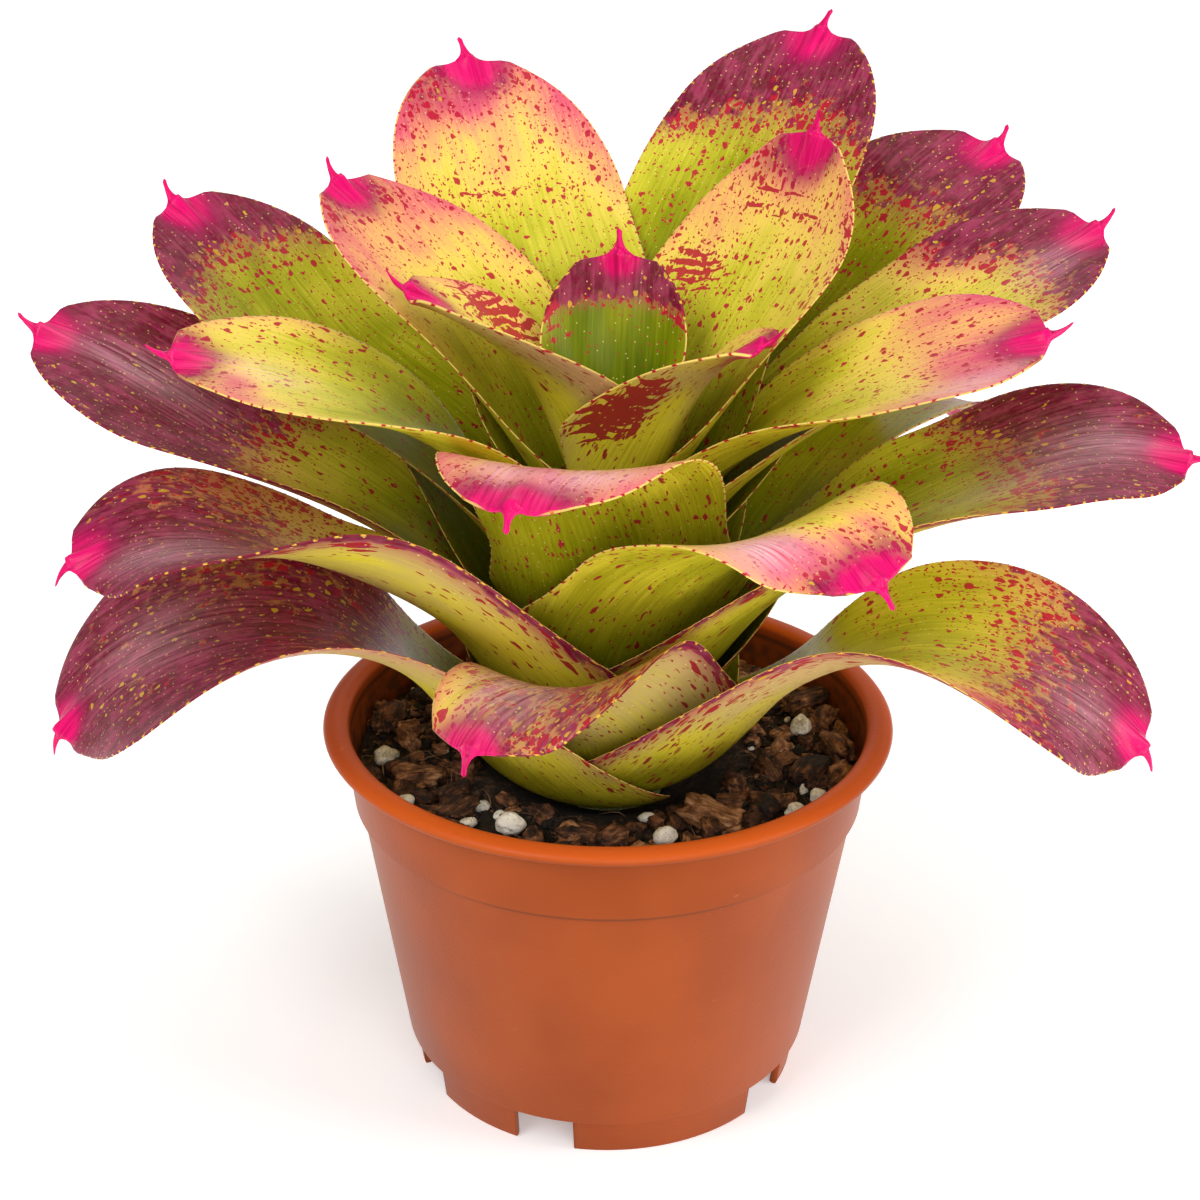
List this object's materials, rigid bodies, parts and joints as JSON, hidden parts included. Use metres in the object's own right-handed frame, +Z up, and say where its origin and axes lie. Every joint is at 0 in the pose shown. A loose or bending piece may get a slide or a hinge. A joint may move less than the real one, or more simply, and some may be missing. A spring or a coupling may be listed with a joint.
{
  "type": "neoregelia bromeliad in a nursery pot",
  "caption": "Neoregelia bromeliad: a rosette of red-spotted green strap leaves with hooked magenta points, growing in potting mix in a round terracotta-coloured plastic pot.",
  "frame": {"origin": "on the pot's axis at the plane its feet stand on, which is also the bottom centre of the whole object's box", "axes": "+Z up along the pot's axis, +X to the right and -Y towards the front, where the picture was taken from"},
  "size_m": [0.2956, 0.1958, 0.2662],
  "materials": {
    "terracotta_plastic": "satin moulded plastic",
    "peat": "rough, crumbly and matt",
    "stem": "dull",
    "leaf": "glossy, spotted and barred in crimson",
    "perlite": "matt and pitted",
    "bark": "rough and fibrous"
  },
  "bodies": {
    "root": {"pot": "terracotta_plastic", "potting_mix": "peat", "stem": "stem", "leaf_01": "leaf", "leaf_02": "leaf", "leaf_03": "leaf", "leaf_04": "leaf", "leaf_05": "leaf", "leaf_06": "leaf", "leaf_07": "leaf", "leaf_08": "leaf", "leaf_09": "leaf", "leaf_10": "leaf", "leaf_11": "leaf", "leaf_12": "leaf", "leaf_13": "leaf", "leaf_14": "leaf", "leaf_15": "leaf", "leaf_16": "leaf", "leaf_17": "leaf", "leaf_18": "leaf", "leaf_19": "leaf", "leaf_20": "leaf", "leaf_21": "leaf", "leaf_22": "leaf", "leaf_23": "leaf", "leaf_24": "leaf", "leaf_25": "leaf", "leaf_26": "leaf", "perlite_01": "perlite", "perlite_02": "perlite", "perlite_03": "perlite", "perlite_04": "perlite", "perlite_05": "perlite", "perlite_06": "perlite", "perlite_07": "perlite", "perlite_08": "perlite", "perlite_09": "perlite", "perlite_10": "perlite", "bark_01": "bark", "bark_02": "bark", "bark_03": "bark", "bark_04": "bark", "bark_05": "bark", "bark_06": "bark", "bark_07": "bark", "bark_08": "bark", "bark_09": "bark", "bark_10": "bark", "bark_11": "bark", "bark_12": "bark", "bark_13": "bark", "bark_14": "bark", "bark_15": "bark", "bark_16": "bark", "bark_17": "bark"}
  },
  "joints": []
}
